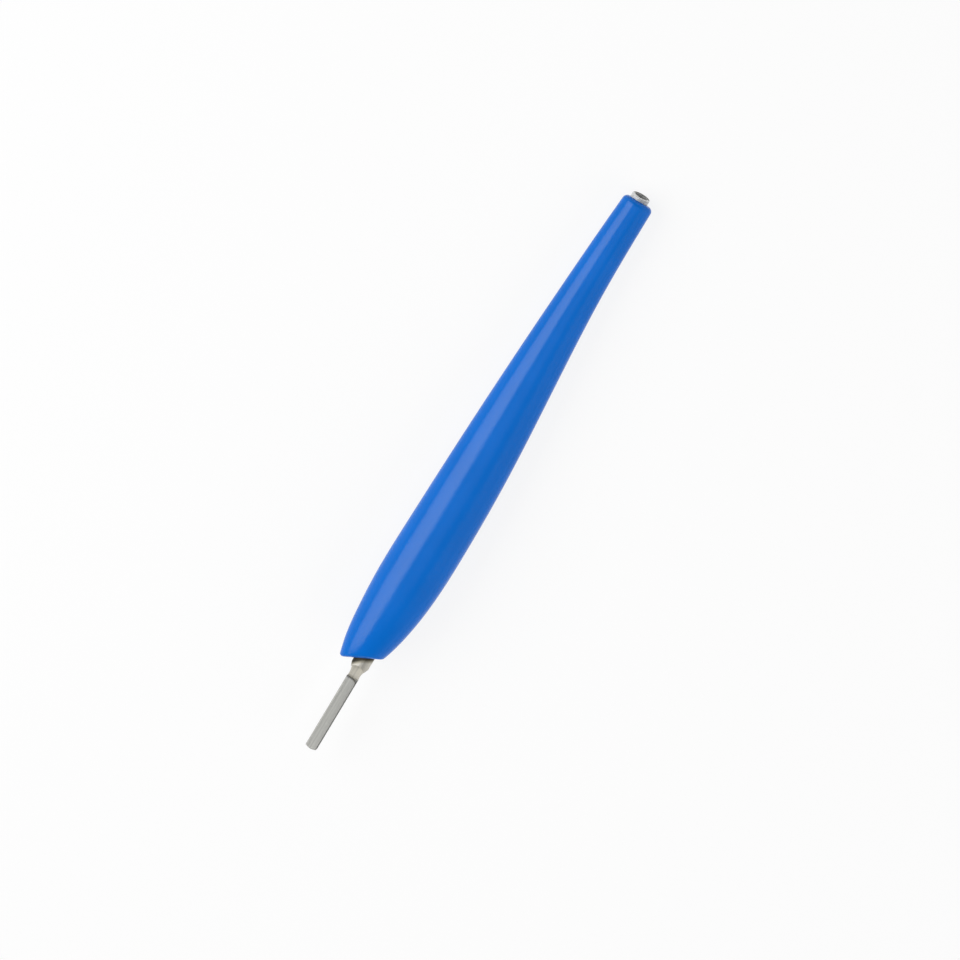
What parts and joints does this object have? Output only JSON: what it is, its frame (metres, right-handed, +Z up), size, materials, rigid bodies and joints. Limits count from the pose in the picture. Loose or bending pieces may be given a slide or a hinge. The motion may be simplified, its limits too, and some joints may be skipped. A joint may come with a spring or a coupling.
{
  "type": "scalpel handle",
  "caption": "Slim ergonomic scalpel handle: a round steel core with a fitting for a detachable blade, in a moulded silicone grip that swells under the fingers and tapers to the tail.",
  "frame": {"origin": "bottom centre of the bounding box, on the surface that the handle lies on", "axes": "+X along the handle, out of the blade fitting; the core's axis climbs 2 degrees towards +X because the handle lies on its bulge and its tail. +Y to the belly side, where the blade's cutting edge would be, and -Y to the dorsal side. +Z up, out of the face of the fitting that the blade slides onto"},
  "size_m": [0.1586, 0.016, 0.0145],
  "materials": {
    "steel": "fine satin, milled flats on the fitting",
    "silicone": "smooth satin silicone"
  },
  "bodies": {
    "root": {"steel_core": "steel", "grip_cover": "silicone"}
  },
  "joints": []
}
